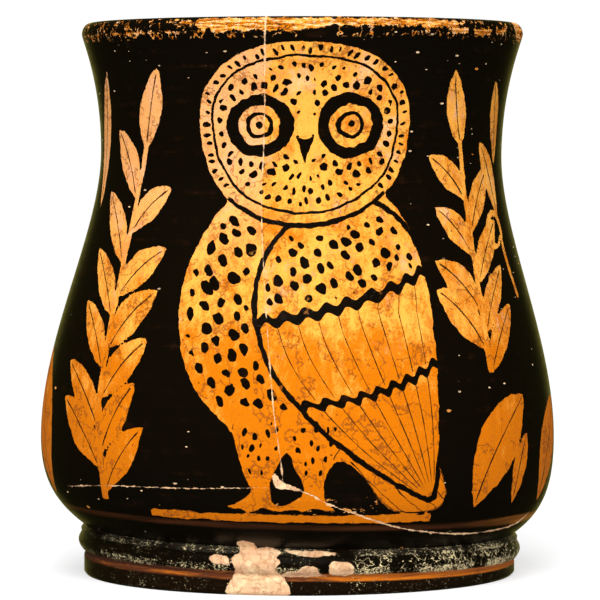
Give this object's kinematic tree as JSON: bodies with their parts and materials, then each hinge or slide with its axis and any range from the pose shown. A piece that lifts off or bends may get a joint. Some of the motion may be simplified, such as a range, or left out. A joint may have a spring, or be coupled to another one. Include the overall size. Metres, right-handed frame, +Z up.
{
  "type": "red-figure drinking mug",
  "caption": "Small Attic mug with an S-shaped profile, a moulded ring foot and one strap handle; black gloss with a red-figure owl between two olive sprigs, edges worn.",
  "frame": {"origin": "centre of the underside, on the table plane", "axes": "+Z up along the wheel axis, -Y towards the picture, +Y towards the handle"},
  "size_m": [0.0824, 0.0949, 0.0879],
  "materials": {
    "black_gloss": "black gloss over orange fired clay, a soft sheen, worn to bare clay on the rim and along the foot"
  },
  "bodies": {
    "root": {"vase": "black_gloss"}
  },
  "joints": []
}
